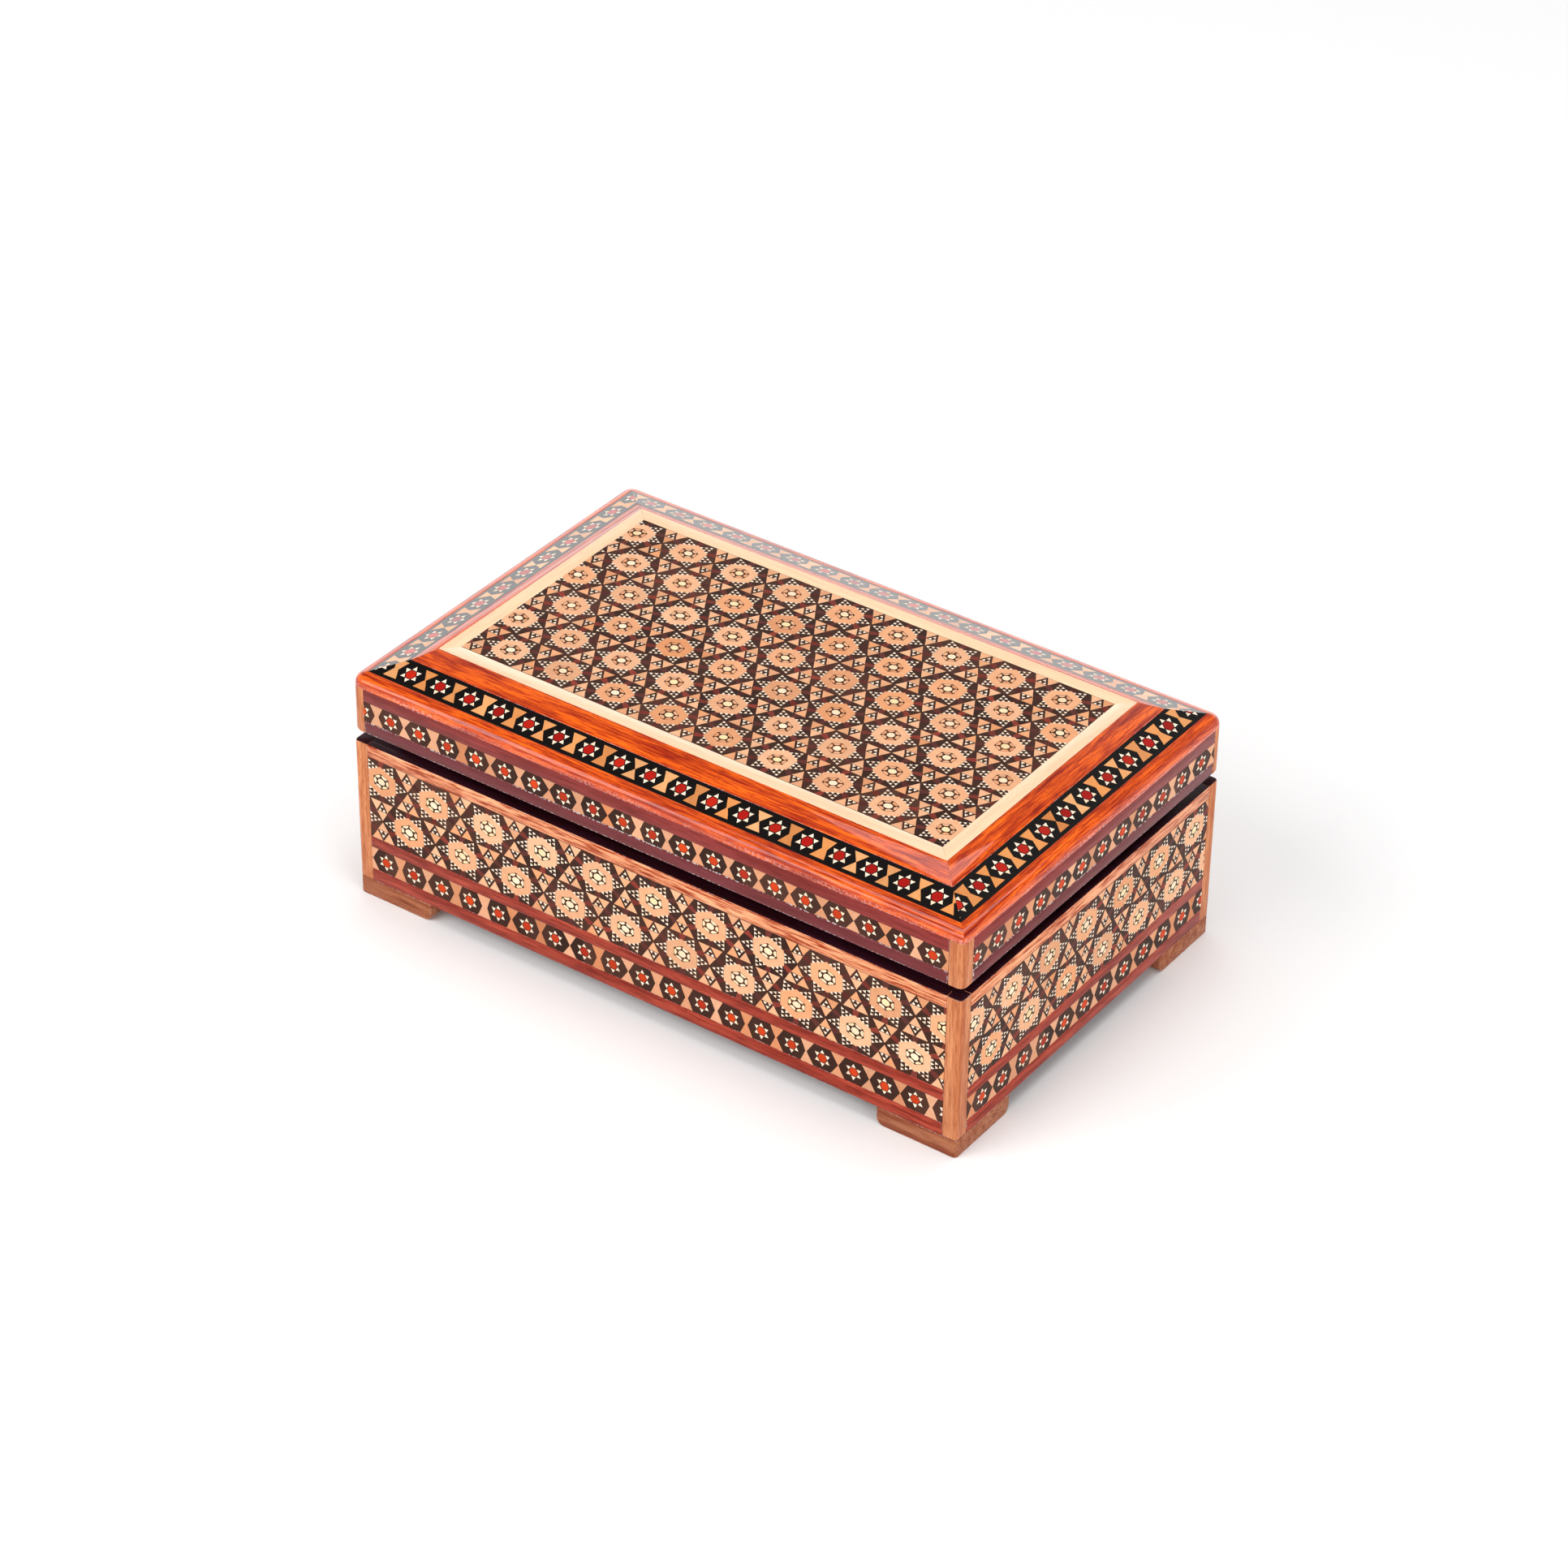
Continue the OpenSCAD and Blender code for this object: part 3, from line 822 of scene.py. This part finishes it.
class BOX_OT_khatam(Operator):
    """Lay the medallion panels on the top and the four sides"""

    bl_idname = "box.khatam"
    bl_label = "Lay Medallion Panels"

    def execute(self, context):
        cells = [medallion_cell(seed, CREAM) for seed in range(MEDALLIONS)]
        tiles = inlay_woods()
        rows = inlay().side_rows
        for side in SIDES:
            node = "base_khatam_" + side
            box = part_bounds(node)
            pitch = inlay().long_pitch if is_long(side) else inlay().short_pitch
            phase = LONG_SHIFT if is_long(side) else SHORT_SHIFT
            scale = cell_scale(pitch, (box[1][2] - box[0][2]) / rows)
            parts = lay_upright(box, cells, rows, pitch, scale, phase, SIDE_SEED)
            finish_piece("panel_" + side, join(parts), tiles, "base", "khatam_inlay", node)
        self.top([medallion_cell(seed, PEACH) for seed in range(MEDALLIONS)], tiles)
        return {"FINISHED"}

    def top(self, cells, tiles):
        """The panel on the lid: rows that are laid side by side, each a little out of step."""
        low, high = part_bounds("lid_khatam_top")
        rows, pitch = inlay().top_rows, inlay().top_pitch
        tall = (high[1] - low[1]) / rows
        parts = []
        for row in range(rows):
            shift = TOP_SHIFTS[row % 2] + TOP_STRAY * noise.noise(Vector((row * 1.3, 0.5, 0.5)))
            scale = cell_scale(pitch, tall)
            bm = stick(cells, pitch, scale, high[0] - low[0], tall, shift, TOP_SEED + row)
            thicken(bm, Vector((0, 0, low[2] - high[2])))
            place = Matrix.Translation((0, high[1] - (row + 0.5) * tall, high[2]))
            bmesh.ops.transform(bm, matrix=place, verts=bm.verts)
            parts.append(bm)
        finish_piece("panel_top", join(parts), tiles, "lid", "khatam_inlay", "lid_khatam_top")


class BOX_OT_stars(Operator):
    """Lay the star strips on the sides of the body and the lid, and the star bands on the slope"""

    bl_idname = "box.stars"
    bl_label = "Lay Star Strips"

    def execute(self, context):
        tiles = inlay_woods()
        pitch = inlay().side_pitch
        kinds = range(len(HOURGLASSES))
        for body, word, phase in (("base", "body", BODY_STAR_SHIFT), ("lid", "lid", LID_STAR_SHIFT)):
            node = body + "_star_strips"
            low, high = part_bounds(node)
            tall = high[2] - low[2]
            cells = [star_cell(kind, pitch, tall, tall, inlay().side_star) for kind in kinds]
            parts = []
            for strip in islands(node_copy(node)):
                box = part_box(strip)
                strip.free()
                parts += lay_upright(box, cells, 1, pitch, (1, 1), phase, STAR_SEED)
            finish_piece("stars_" + word, join(parts), tiles, body, "star_inlay", node)
        tiles = slope_woods()
        for side in SIDES:
            self.slope_band(side, tiles, kinds)
        return {"FINISHED"}

    def slope_band(self, side, tiles, kinds):
        """A band that lies on the slope, mitred where it meets its neighbours."""
        node = "lid_band_" + side
        low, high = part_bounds(node)
        run = run_of(side)
        outer = furthest((low, high), 1 - run)
        inner = furthest(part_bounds("lid_slope_" + side), 1 - run)
        edge_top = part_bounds("lid_edge_" + side)[1][2]
        plan, rise = outer - inner, high[2] - edge_top
        wide = sqrt(plan * plan + rise * rise)
        pitch, zone, tip = inlay().slope_pitch, inlay().slope_zone, inlay().slope_star
        cells = [star_cell(kind, pitch, wide, zone, tip) for kind in kinds]
        seed = SLOPE_SEED + SIDES.index(side)
        bm = stick(cells, pitch, (1, 1), high[run] - low[run], wide, SLOPE_SHIFT, seed, plan)
        centre = Matrix.Translation((0, -(outer + inner) / 2, (edge_top + high[2]) / 2))
        turn = Matrix.Rotation(pi / 2 * SIDES.index(side), 4, "Z")
        tilt = Matrix.Rotation(atan2(rise, plan), 4, "X")
        bmesh.ops.transform(bm, matrix=turn @ centre @ tilt, verts=bm.verts)
        thicken(bm, Vector((0, 0, low[2] - edge_top)))
        finish_piece("band_" + side, bm, tiles, "lid", "star_inlay", node)


class BOX_OT_strips(Operator):
    """Shape the plain strips between the inlays"""

    bl_idname = "box.strips"
    bl_label = "Shape Plain Strips"

    def execute(self, context):
        w = woods()
        grainy = {"figure": 0.22, "lines": 0.6, "pores": 0.4, "fine": 1.1}
        kinds = (
            ("base", "salmon", "salmon_wood", w.salmon, grainy),
            ("base", "rail", "maroon_wood", w.maroon, {"lines": 0.4}),
            ("base", "sill", "maroon_wood", w.maroon, {"lines": 0.4}),
            ("lid", "maroon", "maroon_wood", w.mulberry, {"lines": 0.25}),
            # The plum strip's strong edge paint puts pale chips on its rounded lower edge: partly real
            # chipping, partly a painted highlight.
            ("lid", "plum", "plum_wood", w.plum, {"figure": 0.2, "lines": 0.15, "wear": 1.6}),
        )
        for body, word, slot, shade, look in kinds:
            node = f"{body}_{word}_strips"
            parts = islands(node_copy(node))
            for part in parts:
                grain = run_of(side_of(part_box(part)))
                ease(part, joinery().plum_arris if word == "plum" else joinery().strip_arris)
                for face in part.faces:
                    face.material_index = grain
                stain_flats(part, RIM_Z, 2)
                stain_flats(part, LID_Z, 2)
            materials = [*both_ways(word, shade, **look), rim_stain()]
            finish_piece(word + "_strips", join(parts), materials, body, slot, node)
        return {"FINISHED"}


class BOX_OT_mouldings(Operator):
    """Shape the orange mouldings and the cream strips of the lid"""

    bl_idname = "box.mouldings"
    bl_label = "Shape Mouldings"

    def execute(self, context):
        w = woods()
        orange = both_ways(
            "padauk", w.padauk, figure=0.45, lines=0.5, pores=0.8, coat=0.9, gloss=0.05, fine=1.3
        )
        pale = both_ways("ivory", w.ivory, figure=0.04, lines=0.05, pores=0.05, coat=0.6, gloss=0.06)
        for side in SIDES:
            for node, word, slot, pair in (
                ("lid_edge_", "moulding_", "orange_wood", orange),
                ("lid_slope_", "slope_", "orange_wood", orange),
                ("lid_cream_", "border_", "cream_wood", pale),
            ):
                part = node_copy(node + side)
                if word == "moulding_":
                    self.round_off(part, side)
                else:
                    ease(part, joinery().moulding_arris)
                finish_piece(word + side, part, [pair[run_of(side)]], "lid", slot, node + side)
        return {"FINISHED"}

    def round_off(self, part, side):
        """Gives an outer moulding its turned corners and its worn lip, but leaves the front right corner."""
        turn = Matrix.Rotation(pi / 2 * SIDES.index(side), 4, "Z")
        bmesh.ops.transform(part, matrix=turn.inverted(), verts=part.verts)
        reach, deep = (LID_X, LID_Y) if is_long(side) else (LID_Y, LID_X)
        radius = joinery().corner
        places = {
            way: Vector((way * (reach - radius), radius - deep, 0))
            for way in (-1, 1) if (side, way) not in (("front", 1), ("right", -1))
        }
        for way, place in places.items():
            cut_away(part, place, (way, 0, 0))
        ease(part, joinery().moulding_arris)
        for way, place in places.items():
            turn_corner(part, place, way)
        bmesh.ops.recalc_face_normals(part, faces=part.faces)
        shade_round(part)
        # Paints the lower lip's faces pale: partly rubbing of the edge, partly a painted highlight along its
        # rounding.
        wear_and_sheen = part.faces.layers.float["wear_and_sheen"]
        lip = SIDE_TOP + joinery().lip
        for face in part.faces:
            if face.calc_center_median().z < lip:
                face[wear_and_sheen] = LIP_WEAR_AND_HIGHLIGHT
        bmesh.ops.transform(part, matrix=turn, verts=part.verts)


class BOX_OT_posts(Operator):
    """Shape the corner posts and the feet"""

    bl_idname = "box.posts"
    bl_label = "Shape Posts and Feet"

    def execute(self, context):
        w = woods()
        pear = wood("pear", w.pear, "Z", figure=0.2, lines=0.25, pores=0.6, wear=0.35, rough=0.42, coat=0.12)
        for body, word in (("base", "body"), ("lid", "lid")):
            node = body + "_posts"
            part = node_copy(node)
            ease(part, joinery().post_arris)
            stain_flats(part, RIM_Z, 1)
            stain_flats(part, LID_Z, 1)
            finish_piece(word + "_posts", part, [pear, rim_stain()], body, "post_wood", node)
        walnut = wood("walnut", w.walnut, figure=0.3, lines=0.25, pores=0.6, wear=0.3, rough=0.5, coat=0.15)
        for corner in ("front_left", "front_right", "back_left", "back_right"):
            part = node_copy("foot_" + corner)
            ease(part, joinery().post_arris)
            finish_piece("bracket_" + corner, part, [walnut], "base", "foot_wood", "foot_" + corner)
        return {"FINISHED"}


class BOX_OT_inside(Operator):
    """Finish the core boards, the linings and the floor"""

    bl_idname = "box.inside"
    bl_label = "Finish Inside"

    def execute(self, context):
        stained = both_ways(
            "wine", woods().wine, figure=0.35, lines=0.3, pores=0.4, wear=0.1, rough=0.5, coat=0.1
        )
        for side in SIDES:
            stain = stained[run_of(side)]
            for body in ("base", "lid"):
                dress(f"{body}_wall_{side}", stain)
                node = f"{body}_lining_{side}"
                part = node_copy(node)
                ease(part, joinery().board_arris)
                finish_piece(f"{body}_board_{side}", part, [stain], body, "stained_lining", node)
        dress("lid_board", stained[0])
        dress("base_floor", stained[0])
        return {"FINISHED"}


class BOX_OT_hinges(Operator):
    """Finish the brass hinges and their tacks"""

    bl_idname = "box.hinges"
    bl_label = "Finish Hinges"

    def execute(self, context):
        brass = metal("brass", woods().brass)
        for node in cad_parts:
            if node.startswith("hinge_") or node.endswith("_tacks"):
                dress(node, brass)
        return {"FINISHED"}


def dress(node, material):
    """Gives a CAD node its material and leaves its shape alone."""
    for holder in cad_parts[node].material_slots:
        holder.material = material


FLOOR_HALF = 6
SCREEN_WAY = Vector((-0.6, 0.79, 0.1)).normalized()
LAMP_AIM = Vector((0, 0, 0.03))
# Name, place, width, height and share of the key light's power
LAMPS = (
    ("key", (-0.55, -1.25, 1.15), 1.3, 1.1, 1),
    ("side", (1.6, -0.6, 0.5), 1.1, 0.8, 0.66),
    ("overhead", (0.25, 0.15, 2.1), 1.8, 1.5, 1.35),
)


class BOX_OT_stage(Operator):
    """Set the pale floor, the soft lights and the camera"""

    bl_idname = "box.stage"
    bl_label = "Set Stage"

    def execute(self, context):
        stage = context.scene.box_stage
        scene = context.scene
        scene.view_settings.view_transform = "Standard"
        bm = bmesh.new()
        bmesh.ops.create_grid(bm, x_segments=8, y_segments=8, size=FLOOR_HALF)
        mesh = bpy.data.meshes.new("floor")
        bm.to_mesh(mesh)
        bm.free()
        floor = bpy.data.objects.new("floor", mesh)
        scene.collection.objects.link(floor)
        paper = Tree(bpy.data.materials.new("floor_paper"))
        shade = (*(stage.floor_shade,) * 3, 1)
        mesh.materials.append(paper.surface(Base_Color=shade, Roughness=0.8, Specular_IOR_Level=0.1))
        self.studio(stage, scene)
        for name, place, wide, tall, share in LAMPS:
            self.lamp(name, place, wide, tall, share * stage.key_power)
        self.camera(stage, scene)
        return {"FINISHED"}

    def studio(self, stage, scene):
        """A room that is bright low down, brightest behind the box on the left, and darker overhead."""
        tree = Tree(bpy.data.worlds.new("studio"))
        way = tree.add("TexCoord").outputs["Generated"]
        height = tree.add("SeparateXYZ", Vector=way).outputs["Z"]
        towards = tree.add("VectorMath", {"operation": "DOT_PRODUCT"})
        tree.feed(towards.inputs[0], way)
        tree.feed(towards.inputs[1], SCREEN_WAY)
        ahead = tree.spread(towards.outputs["Value"], 0.6, 0.9, 0, stage.screen)
        low = tree.spread(height, 0.25, 0.42, 1, 0)
        room = tree.spread(height, 0.1, 0.8, stage.horizon, stage.zenith)
        strength = tree.maths("ADD", room, tree.maths("MULTIPLY", ahead, low))
        tree.set(tree.nodes["Background"], Color=(1, 1, 1, 1), Strength=strength)
        scene.world = tree.holder

    def lamp(self, name, place, wide, tall, power):
        data = bpy.data.lights.new(name, "AREA")
        data.shape = "RECTANGLE"
        data.size = wide
        data.size_y = tall
        data.energy = power
        lamp = bpy.data.objects.new(name, data)
        lamp.location = place
        lamp.rotation_euler = (LAMP_AIM - Vector(place)).to_track_quat("-Z", "Y").to_euler()
        bpy.context.collection.objects.link(lamp)

    def camera(self, stage, scene):
        """A camera that looks at a point over the middle of the footprint, moved a little in its picture."""
        a, e = stage.azimuth, stage.elevation
        back = Vector((sin(a) * cos(e), -cos(a) * cos(e), sin(e)))
        right = (-back).cross(Vector((0, 0, 1))).normalized()
        up = right.cross(-back)
        leaning = right * cos(stage.roll) + up * sin(stage.roll)
        up = up * cos(stage.roll) - right * sin(stage.roll)
        data = bpy.data.cameras.new("camera")
        data.lens = stage.lens
        data.sensor_width = 36
        camera = bpy.data.objects.new("camera", data)
        place = Vector((0, 0, stage.aim_up)) + back * stage.distance - up * stage.drop
        camera.matrix_world = Matrix.Translation(place) @ Matrix((leaning, up, back)).transposed().to_4x4()
        scene.collection.objects.link(camera)
        scene.camera = camera


STEPS = (
    BOX_OT_khatam, BOX_OT_stars, BOX_OT_strips, BOX_OT_mouldings, BOX_OT_posts, BOX_OT_inside,
    BOX_OT_hinges, BOX_OT_stage,
)


GROUPS = {
    "box_inlay": InlaySettings,
    "box_woods": WoodSettings,
    "box_joinery": JoinerySettings,
    "box_stage": StageSettings,
}


class BOX_PT_panel(Panel):
    """Lists the steps in the order they are run, then the sizes and colours"""

    bl_label = "Inlaid Box"
    bl_space_type = "VIEW_3D"
    bl_region_type = "UI"
    bl_category = "Inlaid Box"

    def draw(self, context):
        for step in STEPS:
            self.layout.operator(step.bl_idname)
        for name, group in GROUPS.items():
            column = self.layout.column(heading=group.__doc__)
            for key in group.__annotations__:
                column.prop(getattr(context.scene, name), key)


CLASSES = (*GROUPS.values(), *STEPS, BOX_PT_panel)


def register():
    for cls in CLASSES:
        bpy.utils.register_class(cls)
    for name, group in GROUPS.items():
        setattr(bpy.types.Scene, name, PointerProperty(type=group))


def unregister():
    for name in GROUPS:
        delattr(bpy.types.Scene, name)
    for cls in reversed(CLASSES):
        bpy.utils.unregister_class(cls)


def main():
    register()
    bpy.ops.box.khatam()
    bpy.ops.box.stars()
    bpy.ops.box.strips()
    bpy.ops.box.mouldings()
    bpy.ops.box.posts()
    bpy.ops.box.inside()
    bpy.ops.box.hinges()
    bpy.ops.box.stage()


if __name__ == "__main__":
    main()
